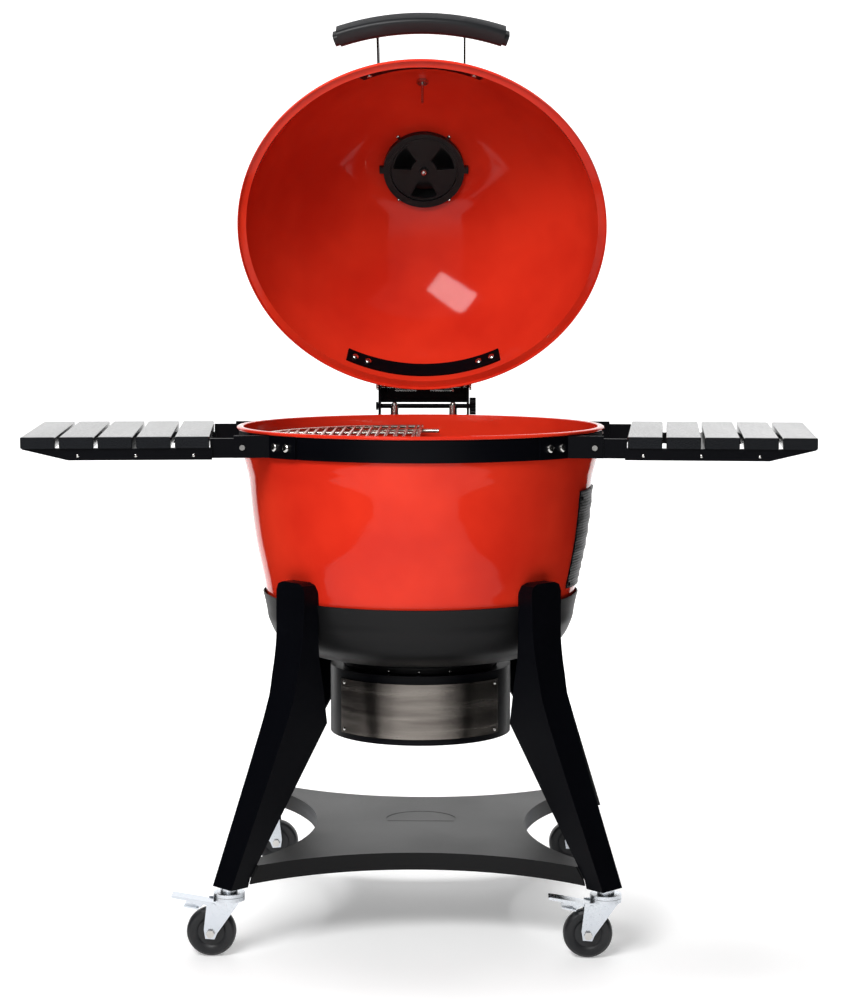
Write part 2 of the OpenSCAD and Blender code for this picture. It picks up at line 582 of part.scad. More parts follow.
module shelf_slats() for (k = [0 : slat_n - 1])
    translate([slat_x0 + slat_pitch * k, -slat_l / 2, slat_z - slat_t + 0.02])
        difference() {
            cube([slat_w, slat_l, slat_t - 0.02]);
            for (x = [-1, slat_w - 1.2]) translate([x, -1, slat_t - 1.2]) cube([2.2, slat_l + 2, 3]);
        }
module shelf_screws() for (y = [-1, 1], k = [0 : 2])
    translate([slat_x0 + 24 + 88 * k, y * (slat_l / 2 - 4), 756]) rotate([y * -90, 0, 0])
        bolt(2.5, 1.8, 1.6, 0);
module shelf_right_frame() color("#28292d") to_shelf(1) shelf_frame();
module shelf_left_frame() color("#28292d") to_shelf(-1) shelf_frame();
module shelf_right_slats() color("#34363d") to_shelf(1) shelf_slats();
module shelf_left_slats() color("#34363d") to_shelf(-1) shelf_slats();
module shelf_screws_right() color("silver") to_shelf(1) shelf_screws();
module shelf_screws_left() color("silver") to_shelf(-1) shelf_screws();

// Casters: stem position and direction of trail
stem = stem_r / sqrt(2);
module caster(sx, sy, turn) kettle() translate([sx * stem, sy * stem, 0]) rotate([0, 0, turn])
    children();
module fork() difference() {
    union() {
        ring(6.05, 24, fork_top_z - 8, fork_top_z - 2);
        translate([-6, -18, fork_top_z - 10]) cube([18, 36, 3]);
        for (s = [-1, 1]) translate([0, s > 0 ? 15 : -17.5, 0]) rotate([90, 0, 0])
            translate([0, 0, -2.5]) linear_extrude(2.5) polygon([[-18, fork_top_z - 7],
                [32, fork_top_z - 7], [trail + 10, tyre_z + 6], [trail + 8, tyre_z - 8],
                [trail - 6, tyre_z - 9], [trail - 10, tyre_z]]);
        translate([0, 0, fork_top_z - 8.5]) linear_extrude(3) square([36, 35], center = true);
    }
    cylinder_at(fork_top_z - 20, 6.05, 30);
    translate([trail, 0, tyre_z]) rotate([90, 0, 0]) cylinder(r = 4, h = 60, center = true);
    translate([pedal_x, 0, pedal_z]) rotate([90, 0, 0])
        cylinder(r = 3 + run_fit, h = 60, center = true);
    translate([trail, 0, tyre_z]) rotate([90, 0, 0])
        cylinder(r = wheel_r + 2, h = wheel_w + 2, center = true);
}
module wheel() translate([trail, 0, tyre_z]) rotate([90, 0, 0]) difference() {
    rotate_extrude() polygon([[4.05, -14.5], [9, -14.5], [9, -9], [20, -8], [23, -10],
        [28, -wheel_w / 2 + 0.5], [wheel_r - 5, -wheel_w / 2], [wheel_r - 1.5, -wheel_w / 2 + 3],
        [wheel_r, -wheel_w / 2 + 8], [wheel_r, wheel_w / 2 - 8], [wheel_r - 1.5, wheel_w / 2 - 3],
        [wheel_r - 5, wheel_w / 2], [28, wheel_w / 2 - 0.5], [23, 10], [20, 8], [9, 9],
        [9, 14.5], [4.05, 14.5]]);
}
module axle() translate([trail, 0, tyre_z]) rotate([90, 0, 0]) union() {
    cylinder(r = 4, h = 38, center = true);
    for (s = [-1, 1]) translate([0, 0, s * 20.6]) cylinder(r = 6.5, h = 5, center = true, $fn = 6);
}
pedal_x = 22;
pedal_z = 81;
module pedal() union() {
    translate([0, 0, 0]) rotate([90, 0, 0]) translate([0, 0, -12.5]) linear_extrude(25)
        polygon([[19, 78], [26, 79], [38, 81], [42, 76.5], [48, 76.5], [50, 81], [62, 86.5],
            [86, 91], [87, 94], [84, 94.5], [60, 90.5], [26, 84.5], [19, 84.5]]);
    translate([60, -18, 0]) rotate([0, -11, 0]) translate([-0, 0, 75.8]) cube([22, 36, 2.5]);
    translate([pedal_x, 0, pedal_z]) rotate([90, 0, 0]) cylinder(r = 3, h = 37, center = true);
}
module stems() {
    cylinder_at(fork_top_z - 14, 6, 28);
    ring(6, 13, fork_top_z - 1.4, foot_z - 0.4);
    ring(6, 24, fork_top_z - 1.4, fork_top_z + 4);
    cylinder_at(fork_top_z - 13.7, 11, 3);
}
caster_at = [[-1, -1, 180], [1, -1, 180], [-1, 1, 0], [1, 1, 180]];
module one_caster(i) caster(caster_at[i][0], caster_at[i][1], caster_at[i][2]) children();
module fork_front_left() color("silver") one_caster(0) fork();
module fork_front_right() color("silver") one_caster(1) fork();
module fork_rear_left() color("silver") one_caster(2) fork();
module fork_rear_right() color("silver") one_caster(3) fork();
module wheel_front_left() color("#2f3033") one_caster(0) wheel();
module wheel_front_right() color("#2f3033") one_caster(1) wheel();
module wheel_rear_left() color("#2f3033") one_caster(2) wheel();
module wheel_rear_right() color("#2f3033") one_caster(3) wheel();
module pedal_left() color("gainsboro") one_caster(0) pedal();
module pedal_right() color("gainsboro") one_caster(1) pedal();
module caster_stems() color("silver") for (i = [0 : 3]) one_caster(i) stems();
module axle_front_left() color("silver") one_caster(0) axle();
module axle_front_right() color("silver") one_caster(1) axle();
module axle_rear_left() color("silver") one_caster(2) axle();
module axle_rear_right() color("silver") one_caster(3) axle();
// Bolts, rivets and pins of the cart
module cart_fasteners() {
    band_bolts();
    leg_bolts();
    neck_rivets();
    shelf_pins();
}

kettle_bowl();
lower_bowl();
clamp_band();
band_brackets();
cart_fasteners();
leg_front_left();
leg_front_right();
leg_rear_left();
leg_rear_right();
lower_shelf();
ash_drum();
side_plate();
ember_ring();
fire_grate();
ash_drawer();
drawer_face();
face_rivets();
grate_rack();
half_grate_left();
half_grate_right();
lid_shell();
lid_handle();
handle_brackets();
handle_strip();
hinge_strip();
lid_bolts();
hinge_arm();
hinge_base();
hinge_pin();
hinge_spacers();
hinge_spring();
hinge_knob();
vent_collar();
vent_disc();
vent_cap();
thermo_case();
thermo_face();
thermo_needle();
thermo_stem();
shelf_left_frame();
shelf_left_slats();
shelf_right_frame();
shelf_right_slats();
shelf_screws_left();
shelf_screws_right();
fork_front_left();
fork_front_right();
fork_rear_left();
fork_rear_right();
wheel_front_left();
wheel_front_right();
wheel_rear_left();
wheel_rear_right();
pedal_left();
pedal_right();
caster_stems();
axle_front_left();
axle_front_right();
axle_rear_left();
axle_rear_right();
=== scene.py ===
"""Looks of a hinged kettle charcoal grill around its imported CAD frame."""

import json
import logging
import math
from dataclasses import dataclass, field
from enum import Enum

import bmesh
import bpy
from mathutils import Euler, Matrix, Vector


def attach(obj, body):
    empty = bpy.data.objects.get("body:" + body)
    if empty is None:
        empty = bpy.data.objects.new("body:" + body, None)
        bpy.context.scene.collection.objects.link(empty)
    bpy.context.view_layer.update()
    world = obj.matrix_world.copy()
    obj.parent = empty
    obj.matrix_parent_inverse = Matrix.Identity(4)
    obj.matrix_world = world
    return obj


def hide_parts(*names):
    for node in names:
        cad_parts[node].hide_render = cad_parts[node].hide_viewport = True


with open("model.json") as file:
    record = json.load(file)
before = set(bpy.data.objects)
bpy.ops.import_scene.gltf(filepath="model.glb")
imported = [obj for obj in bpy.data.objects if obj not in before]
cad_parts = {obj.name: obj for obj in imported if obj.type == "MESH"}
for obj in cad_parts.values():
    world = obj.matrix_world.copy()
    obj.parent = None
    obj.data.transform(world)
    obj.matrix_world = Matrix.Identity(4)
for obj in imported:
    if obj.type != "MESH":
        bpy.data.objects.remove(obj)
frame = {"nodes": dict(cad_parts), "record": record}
LOG = logging.getLogger("grill")
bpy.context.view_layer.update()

# The kettle's axis and the lid's hinge, in millimetres and degrees.
KETTLE_Y = -54.0
LID_HINGE = next(j for j in frame["record"]["behaviour"]["joints"] if j["name"] == "lid_hinge")
HINGE_Y, HINGE_Z = (round(1000 * v, 3) for v in LID_HINGE["pos_m"][1:])
LID_OPEN = LID_HINGE["range_deg"][1]

# Shading angles in degrees: turned shells, wires and small turned heads.
SHELL_CREASE = 40.0
WIRE_CREASE = 50.0

# How close two corners are welded, and the shortest edge kept, in metres.
WELD = 2e-6
SPECK = 1e-7


@dataclass(frozen=True)
class Finish:
    """A surface finish: its colour, gloss, fine grain and any level ribs."""

    name: str
    colour: tuple[float, float, float]
    rough: float
    metal: float = 0.0
    specular: float = 0.5
    tint: tuple[float, float, float] | None = None
    grain_scale: float = 900.0
    bump: float = 0.05
    rough_spread: float = 0.08
    stretch: tuple[float, float, float] = (1.0, 1.0, 1.0)
    ribs: float = 0.0

    def make(self) -> bpy.types.Material:
        """Builds the procedural material.

        Returns:
            The material, with its colour, gloss and bump from object-space noise.
        """
        mat = bpy.data.materials.new(self.name)
        mat.use_nodes = True
        tree = mat.node_tree
        tree.nodes.clear()
        new, link = tree.nodes.new, tree.links.new
        out = new("ShaderNodeOutputMaterial")
        shader = new("ShaderNodeBsdfPrincipled")
        link(shader.outputs["BSDF"], out.inputs["Surface"])
        shader.inputs["Metallic"].default_value = self.metal
        shader.inputs["Specular IOR Level"].default_value = self.specular
        where = new("ShaderNodeTexCoord")
        turn = new("ShaderNodeMapping")
        turn.inputs["Scale"].default_value = self.stretch
        link(where.outputs["Object"], turn.inputs["Vector"])
        drift = self._noise(tree, turn, 6.0, 3.0)
        grit = self._noise(tree, turn, self.grain_scale, 2.0)
        shade = new("ShaderNodeMix")
        shade.data_type = "RGBA"
        dark = self.tint or tuple(c * 0.82 for c in self.colour)
        shade.inputs[6].default_value = (*dark, 1.0)
        shade.inputs[7].default_value = (*self.colour, 1.0)
        self._range(tree, drift, shade.inputs[0], 0.35, 0.62, 0.0, 1.0)
        link(shade.outputs[2], shader.inputs["Base Color"])
        blend = new("ShaderNodeMath")
        blend.operation = "MULTIPLY_ADD"
        link(grit.outputs[0], blend.inputs[0])
        blend.inputs[1].default_value = 0.5
        link(drift.outputs[0], blend.inputs[2])
        self._range(tree, blend, shader.inputs["Roughness"], 0.4, 1.1,
                    self.rough - self.rough_spread / 2, self.rough + self.rough_spread / 2)
        if self.bump > 0:
            lift = new("ShaderNodeBump")
            lift.inputs["Strength"].default_value = self.bump
            lift.inputs["Distance"].default_value = 0.001
            height = self._ridges(tree, turn, grit) if self.ribs > 0 else grit.outputs[0]
            link(height, lift.inputs["Height"])
            link(lift.outputs["Normal"], shader.inputs["Normal"])
        return mat

    def _ridges(self, tree: bpy.types.NodeTree, turn: bpy.types.Node,
                grit: bpy.types.Node) -> bpy.types.NodeSocket:
        """Adds level ridges over the grain.

        Args:
            tree: The material's tree.
            turn: The node that gives the mapped coordinates.
            grit: The noise that gives the grain.

        Returns:
            The socket with the summed height.
        """
        wave = tree.nodes.new("ShaderNodeTexWave")
        wave.bands_direction = "Z"
        wave.inputs["Scale"].default_value = 2 * math.pi / 20.0 / self.ribs
        wave.inputs["Distortion"].default_value = 1.2
        wave.inputs["Detail"].default_value = 1.0
        tree.links.new(turn.outputs["Vector"], wave.inputs["Vector"])
        total = tree.nodes.new("ShaderNodeMath")
        total.operation = "MULTIPLY_ADD"
        tree.links.new(wave.outputs["Fac"], total.inputs[0])
        total.inputs[1].default_value = 4.0
        tree.links.new(grit.outputs[0], total.inputs[2])
        return total.outputs[0]

    @staticmethod
    def _noise(tree: bpy.types.NodeTree, turn: bpy.types.Node, scale: float,
               detail: float) -> bpy.types.Node:
        """Adds a noise texture on the mapped coordinates.

        Args:
            tree: The material's tree.
            turn: The node that gives the mapped coordinates.
            scale: The noise's scale.
            detail: Its number of octaves.

        Returns:
            The noise node.
        """
        node = tree.nodes.new("ShaderNodeTexNoise")
        node.inputs["Scale"].default_value = scale
        node.inputs["Detail"].default_value = detail
        tree.links.new(turn.outputs["Vector"], node.inputs["Vector"])
        return node

    @staticmethod
    def _range(tree: bpy.types.NodeTree, source: bpy.types.Node, target: bpy.types.NodeSocket,
               low: float, high: float, to_low: float, to_high: float) -> None:
        """Maps a node's first output on a range and feeds a socket.

        Args:
            tree: The material's tree.
            source: The node whose first output is mapped.
            target: The socket that it feeds.
            low: The lowest value that comes in.
            high: The highest value that comes in.
            to_low: What the lowest value becomes.
            to_high: What the highest value becomes.
        """
        node = tree.nodes.new("ShaderNodeMapRange")
        for name, value in (("From Min", low), ("From Max", high), ("To Min", to_low),
                            ("To Max", to_high)):
            node.inputs[name].default_value = value
        tree.links.new(source.outputs[0], node.inputs["Value"])
        tree.links.new(node.outputs["Result"], target)


ENAMEL = Finish("red_enamel", (0.72, 0.034, 0.013), 0.08, specular=0.15,
                tint=(0.60, 0.022, 0.009), grain_scale=240.0, bump=0.025, rough_spread=0.05)
LOWER_COAT = Finish("heat_black", (0.0045, 0.0045, 0.005), 0.44, specular=0.18,
                    grain_scale=1400.0, bump=0.10, rough_spread=0.10)
POWDER = Finish("powder_black", (0.0018, 0.0020, 0.0032), 0.32, specular=0.08,
                grain_scale=1700.0, bump=0.12, rough_spread=0.10)
SHELF_POWDER = Finish("shelf_powder", (0.007, 0.007, 0.0075), 0.38, specular=0.13,
                      grain_scale=1500.0, bump=0.10, rough_spread=0.10)
SLAT = Finish("slat_plastic", (0.004, 0.005, 0.007), 0.20, specular=0.30,
              grain_scale=500.0, bump=0.10, rough_spread=0.12, stretch=(1.0, 0.08, 1.0))
HANDLE = Finish("handle_black", (0.010, 0.0105, 0.012), 0.40, specular=0.28,
                grain_scale=900.0, bump=0.10)
STAINLESS = Finish("stainless", (0.22, 0.20, 0.18), 0.25, metal=1.0,
                   tint=(0.13, 0.115, 0.105), grain_scale=300.0, bump=0.05, rough_spread=0.10,
                   stretch=(1.0, 1.0, 12.0))
ZINC = Finish("zinc_plate", (0.66, 0.69, 0.72), 0.26, metal=1.0,
              tint=(0.56, 0.60, 0.66), grain_scale=300.0, bump=0.03, rough_spread=0.14)
STEEL = Finish("bright_steel", (0.62, 0.61, 0.59), 0.22, metal=1.0,
               grain_scale=400.0, bump=0.02)
WIRE = Finish("grate_wire", (0.66, 0.60, 0.54), 0.24, metal=1.0,
              grain_scale=400.0, bump=0.03)
IRON = Finish("charcoal_iron", (0.045, 0.043, 0.042), 0.66, grain_scale=500.0,
              bump=0.35)
SHEET = Finish("aluminised_sheet", (0.36, 0.36, 0.37), 0.42, metal=1.0,
               grain_scale=250.0, bump=0.04, rough_spread=0.16)
CAST = Finish("cast_black", (0.010, 0.010, 0.011), 0.34, specular=0.32,
              grain_scale=1100.0, bump=0.16, rough_spread=0.12)
TYRE = Finish("tyre_rubber", (0.012, 0.0125, 0.014), 0.42, specular=0.35,
              grain_scale=1300.0, bump=0.10)
RIBBED = Finish("ribbed_guard", (0.0035, 0.0035, 0.0045), 0.36, specular=0.09,
                grain_scale=1300.0, bump=0.25, rough_spread=0.12, ribs=0.0045)
DIAL = Finish("dial_face", (0.80, 0.79, 0.75), 0.45, bump=0.02)
NEEDLE = Finish("needle_red", (0.55, 0.02, 0.02), 0.35, bump=0.02)

SLOT_FINISH: dict[str, Finish] = {
    "red_enamel": ENAMEL, "black_cover": LOWER_COAT, "black_coat": POWDER,
    "shelf_coat": SHELF_POWDER, "slat": SLAT, "handle": HANDLE, "stainless": STAINLESS,
    "zinc": ZINC, "steel": STEEL, "grate": WIRE, "iron": IRON, "galv": SHEET, "cast": CAST,
    "tyre": TYRE, "dial": DIAL, "needle": NEEDLE,
}


def node_body(node: str) -> str:
    """Finds the body that a CAD node rides on.

    Args:
        node: The CAD node's name.

    Returns:
        The body's name.
    """
    for body, nodes in frame["record"]["behaviour"]["bodies"].items():
        if node in nodes:
            return body
    raise KeyError(node)


SLOT_OF: dict[str, str] = {s["node"]: s["material_slot"] for s in frame["record"]["subparts"]}


@dataclass
class Paint:
    """Mixes each finish once and lays it on pieces and CAD nodes."""

    made: dict[str, bpy.types.Material] = field(default_factory=dict)

    def of(self, finish: Finish) -> bpy.types.Material:
        """Makes a finish once.

        Args:
            finish: The finish wanted.

        Returns:
            Its material.
        """
        if finish.name not in self.made:
            self.made[finish.name] = finish.make()
        return self.made[finish.name]

    def for_node(self, node: str) -> bpy.types.Material:
        """Gives the material of a CAD node's slot.

        Args:
            node: The CAD node's name.

        Returns:
            The material.
        """
        return self.of(SLOT_FINISH[SLOT_OF[node]])

    def dress(self, node: str) -> None:
        """Puts its slot's finish on a CAD node.

        Args:
            node: The CAD node's name.
        """
        mesh = frame["nodes"][node].data
        mesh.materials.clear()
        mesh.materials.append(self.for_node(node))


PAINT = Paint()


def place(name: str, mesh: bpy.types.Mesh, node: str, *others: str,
          material: bpy.types.Material | None = None) -> bpy.types.Object:
    """Puts a finished mesh in the scene in place of CAD nodes.

    Args:
        name: The piece's name.
        mesh: Its mesh, in the frame's own place.
        node: The CAD node that it stands for, whose body it rides on.
        others: Further nodes that it stands for.
        material: Its material, or None for the node's own.

    Returns:
        The object.
    """
    mesh.name = name
    mesh.materials.clear()
    mesh.materials.append(material or PAINT.for_node(node))
    obj = bpy.data.objects.new(name, mesh)
    bpy.context.scene.collection.objects.link(obj)
    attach(obj, node_body(node))
    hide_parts(node, *others)
    LOG.info("%s: %d faces on %s", name, len(mesh.polygons), node_body(node))
    return obj


def shade(mesh: bpy.types.Mesh, crease: float) -> None:
    """Shades a mesh smooth, with sharp edges past an angle.

    Args:
        mesh: The mesh.
        crease: The angle in degrees past which an edge stays sharp.
    """
    for poly in mesh.polygons:
        poly.use_smooth = True
    mesh.set_sharp_from_angle(angle=math.radians(crease))


def skin(node: str, crease: float = 26.0, finish: Finish | None = None) -> bpy.types.Object:
    """Copies a CAD node, welds its triangles and shades its curved faces smooth.

    Args:
        node: The CAD node.
        crease: The angle in degrees past which an edge stays sharp.
        finish: Its finish, or None for that of its slot.

    Returns:
        The skin, which stands for the node.
    """
    mesh = frame["nodes"][node].data.copy()
    build = bmesh.new()
    build.from_mesh(mesh)
    bmesh.ops.remove_doubles(build, verts=build.verts, dist=WELD)
    bmesh.ops.dissolve_degenerate(build, dist=SPECK, edges=build.edges)
    build.to_mesh(mesh)
    build.free()
    if "custom_normal" in mesh.attributes:
        mesh.attributes.remove(mesh.attributes["custom_normal"])
    shade(mesh, crease)
    return place(f"{node}_skin", mesh, node, material=PAINT.of(finish) if finish else None)


def smooth_curve(points: list[tuple[float, float]], steps: int) -> list[tuple[float, float]]:
    """Runs a smooth curve through points.

    Args:
        points: The corner points.
        steps: The points made for each span.

    Returns:
        The curve's points, its two ends among them.
    """
    def near(i: int) -> tuple[float, float]:
        """Gives a point, held to the ends.

        Args:
            i: The point's number, which may lie past an end.

        Returns:
            The point.
        """
        return points[max(0, min(len(points) - 1, i))]

    curve = []
    for i in range(len(points) - 1):
        a, b, c, d = near(i - 1), near(i), near(i + 1), near(i + 2)
        for k in range(steps):
            t = k / steps
            curve.append(tuple(0.5 * (2 * b[j] + (c[j] - a[j]) * t
                                      + (2 * a[j] - 5 * b[j] + 4 * c[j] - d[j]) * t * t
                                      + (3 * b[j] - a[j] - 3 * c[j] + d[j]) * t ** 3)
                               for j in (0, 1)))
    return curve + [points[-1]]


def offset_curve(curve: list[tuple[float, float]], shift: float) -> list[tuple[float, float]]:
    """Moves a curve sideways, to the right of its direction.

    Args:
        curve: The curve's points.
        shift: How far it moves.

    Returns:
        The moved points.
    """
    moved = []
    for i, (r, z) in enumerate(curve):
        before, after = curve[max(i - 1, 0)], curve[min(i + 1, len(curve) - 1)]
        dr, dz = after[0] - before[0], after[1] - before[1]
        length = math.hypot(dr, dz)
        moved.append((r + shift * dz / length, z - shift * dr / length))
    return moved


def lathe(profile: list[tuple[float, float]], segments: int, crease: float) -> bpy.types.Mesh:
    """Turns a closed profile about the kettle's axis.

    Args:
        profile: Radius and height of each corner, in millimetres.
        segments: The number of steps round the axis.
        crease: The angle in degrees past which an edge stays sharp.

    Returns:
        The mesh, in metres.
    """
    build = bmesh.new()
    rings = []
    for k in range(segments):
        turn = 2 * math.pi * k / segments
        rings.append([build.verts.new((r * math.sin(turn) / 1000,
                                       (KETTLE_Y - r * math.cos(turn)) / 1000, z / 1000))
                      for r, z in profile])
    count = len(profile)
    for k in range(segments):
        here, there = rings[k], rings[(k + 1) % segments]
        for i in range(count):
            j = (i + 1) % count
            build.faces.new((here[i], there[i], there[j], here[j]))
    bmesh.ops.recalc_face_normals(build, faces=build.faces)
    mesh = bpy.data.meshes.new("lathe")
    build.to_mesh(mesh)
    build.free()
    shade(mesh, crease)
    return mesh


LID_SWING = (Matrix.Translation((0, HINGE_Y / 1000, HINGE_Z / 1000))
             @ Matrix.Rotation(math.radians(-LID_OPEN), 4, "X")
             @ Matrix.Translation((0, -HINGE_Y / 1000, -HINGE_Z / 1000)))


class Tree:
    """Writes one Geometry Nodes tree with named inputs for its sizes."""

    def __init__(self, name: str, sizes: dict[str, float | int]) -> None:
        """Starts the tree.

        Args:
            name: The tree's name.
            sizes: Its inputs with the values they take.
        """
        self.group = bpy.data.node_groups.new(name, "GeometryNodeTree")
        self.sizes = sizes
        self.group.interface.new_socket(name="Geometry", in_out="OUTPUT",
                                        socket_type="NodeSocketGeometry")
        for key, value in sizes.items():
            kind = "NodeSocketInt" if isinstance(value, int) else "NodeSocketFloat"
            self.group.interface.new_socket(name=key, in_out="INPUT", socket_type=kind)
        self.inputs = self.group.nodes.new("NodeGroupInput")

    def node(self, kind: str, feeds: dict | None = None, **settings) -> bpy.types.Node:
        """Adds a node.

        Args:
            kind: The node's type.
            feeds: Values, size names as "@Name", or output sockets for its inputs.
            settings: Attributes set on the node.

        Returns:
            The node.
        """
        node = self.group.nodes.new(kind)
        for key, value in settings.items():
            setattr(node, key, value)
        for key, value in (feeds or {}).items():
            socket = node.inputs[key]
            if isinstance(value, bpy.types.NodeSocket):
                self.group.links.new(value, socket)
            elif isinstance(value, str) and value.startswith("@"):
                self.group.links.new(self.inputs.outputs[value[1:]], socket)
            else:
                socket.default_value = value
        return node

    def maths(self, how: str, *values) -> bpy.types.NodeSocket:
        """Adds a sum.

        Args:
            how: The operation.
            values: Numbers, size names as "@Name", or output sockets.

        Returns:
            The socket with the result.
        """
        node = self.node("ShaderNodeMath", dict(enumerate(values)), operation=how)
        return node.outputs[0]

    def vector(self, x=0.0, y=0.0, z=0.0) -> bpy.types.NodeSocket:
        """Joins three numbers into a vector.

        Args:
            x: The first number, size name or socket.
            y: The second.
            z: The third.

        Returns:
            The socket with the vector.
        """
        return self.node("ShaderNodeCombineXYZ", {"X": x, "Y": y, "Z": z}).outputs[0]

    def sweep(self, curve: bpy.types.NodeSocket, radius, sides: int = 12) -> bpy.types.NodeSocket:
        """Runs a round wire along a curve.

        Args:
            curve: The socket with the curve.
            radius: The wire's radius, as a number, size name or socket.
            sides: The number of steps round the wire.

        Returns:
            The socket with the wire's mesh.
        """
        ring = self.node("GeometryNodeCurvePrimitiveCircle",
                         {"Resolution": sides, "Radius": radius})
        return self.node("GeometryNodeCurveToMesh",
                         {"Curve": curve, "Profile Curve": ring.outputs["Curve"],
                          "Fill Caps": True}).outputs[0]

    def join(self, *parts: bpy.types.NodeSocket) -> bpy.types.NodeSocket:
        """Joins geometries.

        Args:
            parts: The sockets with the geometries.

        Returns:
            The socket with all of them.
        """
        node = self.node("GeometryNodeJoinGeometry")
        for part in parts:
            self.group.links.new(part, node.inputs[0])
        return node.outputs[0]

    def mesh(self, shape: bpy.types.NodeSocket, material: bpy.types.Material,
             crease: float = 35.0) -> bpy.types.Mesh:
        """Ends the tree, runs it once and keeps its result.

        Args:
            shape: The geometry made.
            material: The material that it is set to.
            crease: The angle in degrees past which an edge stays sharp.

        Returns:
            The plain mesh.
        """
        real = self.node("GeometryNodeRealizeInstances", {"Geometry": shape})
        painted = self.node("GeometryNodeSetMaterial",
                            {"Geometry": real.outputs[0], "Material": material})
        out = self.group.nodes.new("NodeGroupOutput")
        self.group.links.new(painted.outputs[0], out.inputs[0])
        host = bpy.data.objects.new("host", bpy.data.meshes.new("host"))
        bpy.context.scene.collection.objects.link(host)
        maker = host.modifiers.new("maker", "NODES")
        maker.node_group = self.group
        for item in self.group.interface.items_tree:
            if item.in_out == "INPUT":
                maker[item.identifier] = self.sizes[item.name]
        graph = bpy.context.evaluated_depsgraph_get()
        made = bpy.data.meshes.new_from_object(host.evaluated_get(graph))
        host.modifiers.remove(maker)
        bpy.data.objects.remove(host)
        shade(made, crease)
        return made


@dataclass
class Kettle:
    """The enamelled bowl, its black lower shell, the clamp band and what is fixed to them."""

    rim_r: float = 295.0
    rim_z: float = 790.0
    wall: float = 2.0
    segments: int = 192

    def bowl_profile(self) -> list[tuple[float, float]]:
        """Draws the bowl's section with its rolled rim.

        Returns:
            The closed profile, in millimetres.
        """
        z = self.rim_z
        outer = smooth_curve([(286.5, z - 4.9), (286, z - 39), (281.5, z - 61), (276, z - 86),
                              (271.5, z - 134), (265.5, z - 181), (258, z - 219),
                              (252.5, z - 245), (248, z - 270), (239, z - 312), (221, z - 339),
                              (190, z - 352), (150, z - 359), (112, z - 362)], 8)
        rim = [(284.5, z), (286, z + 0.7), (288, z + 1), (self.rim_r - 2, z + 0.6),
               (self.rim_r - 0.6, z - 0.2), (self.rim_r, z - 1.5), (self.rim_r - 0.1, z - 3),
               (self.rim_r - 0.6, z - 4), (self.rim_r - 2.5, z - 4.5)]
        return outer + offset_curve(outer, self.wall)[::-1] + rim

    def cover_profile(self) -> list[tuple[float, float]]:
        """Draws the section of the black lower shell.

        Returns:
            The closed profile, in millimetres.
        """
        outer = smooth_curve([(254.5, 524), (252, 514), (249, 500), (244.5, 478), (228, 449),
                              (194, 430), (155, 421), (128, 417), (124.5, 411), (124.5, 405.3)], 8)
        return outer + offset_curve(outer, self.wall)[::-1]

    def build(self) -> None:
        """Builds the shells and dresses the fittings."""
        place("bowl_shell", lathe(self.bowl_profile(), self.segments, SHELL_CREASE), "kettle_bowl")
        place("lower_shell", lathe(self.cover_profile(), self.segments, SHELL_CREASE), "lower_bowl")
        for node in ("clamp_band", "band_brackets", "cart_fasteners"):
            skin(node)
        skin("side_plate", finish=RIBBED)


@dataclass
class Lid:
    """The domed lid with its handle, vent and thermometer."""

    rim_r: float = 305.0
    dome_r: float = 298.0
    dome_z: float = 742.0
    wall: float = 2.0
    seat_z: float = 797.0
    hole_r: float = 62.5
    screw_z: float = 1012.0
    segments: int = 192

    def arc(self, radius: float, low: float, high: float, steps: int) -> list:
        """Draws the dome's arc between two heights.

        Args:
            radius: The dome's radius.
            low: The height at which it starts.
            high: The height at which it ends.
            steps: The number of steps.

        Returns:
            The arc's points.
        """
        first = math.asin((low - self.dome_z) / radius)
        last = math.asin((high - self.dome_z) / radius)
        return [(radius * math.cos(first + (last - first) * k / steps),
                 self.dome_z + radius * math.sin(first + (last - first) * k / steps))
                for k in range(steps + 1)]

    def top(self, radius: float, out: float) -> float:
        """Finds the dome's height at a distance from its axis.

        Args:
            radius: The dome's radius.
            out: The distance from the axis.

        Returns:
            The height.
        """
        return self.dome_z + math.sqrt(radius * radius - out * out)

    def profile(self) -> list[tuple[float, float]]:
        """Draws the lid's section with its stepped rim, as it sits when shut.

        Returns:
            The closed profile, in millimetres.
        """
        inner = self.dome_r - self.wall
        z = self.seat_z
        return (self.arc(self.dome_r, z + 3, self.top(self.dome_r, self.hole_r), 64)
                + self.arc(inner, z, self.top(inner, self.hole_r), 64)[::-1]
                + [(self.rim_r - 2, z), (self.rim_r - 2, z - 5), (self.rim_r - 1.4, z - 5.5),
                   (self.rim_r - 0.4, z - 5.4), (self.rim_r, z - 4.8), (self.rim_r, z + 1),
                   (self.rim_r - 0.4, z + 2), (self.rim_r - 1.2, z + 2.6)])

    def vent_screw(self) -> None:
        """Turns the bright screw head in the middle of the vent."""
        z = self.screw_z
        head = lathe([(0.02, z - 3.4), (2.2, z - 3.3), (3.9, z - 2.6), (5.0, z - 1.2),
                      (5.2, z + 0.4), (0.02, z + 0.4)], 40, WIRE_CREASE)
        head.transform(LID_SWING)
        head.materials.clear()
        head.materials.append(PAINT.of(STEEL))
        obj = bpy.data.objects.new("vent_screw", head)
        bpy.context.scene.collection.objects.link(obj)
        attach(obj, "vent")
        LOG.info("vent_screw: on vent")

    def build(self) -> None:
        """Builds the dome and dresses the fittings."""
        self.vent_screw()
        mesh = lathe(self.profile(), self.segments, SHELL_CREASE)
        mesh.transform(LID_SWING)
        place("lid_dome", mesh, "lid_shell")
        for node in ("lid_handle", "handle_brackets", "handle_strip", "hinge_strip", "lid_bolts",
                     "vent_collar", "vent_disc", "vent_cap", "thermo_case", "thermo_face",
                     "thermo_needle", "thermo_stem"):
            skin(node)


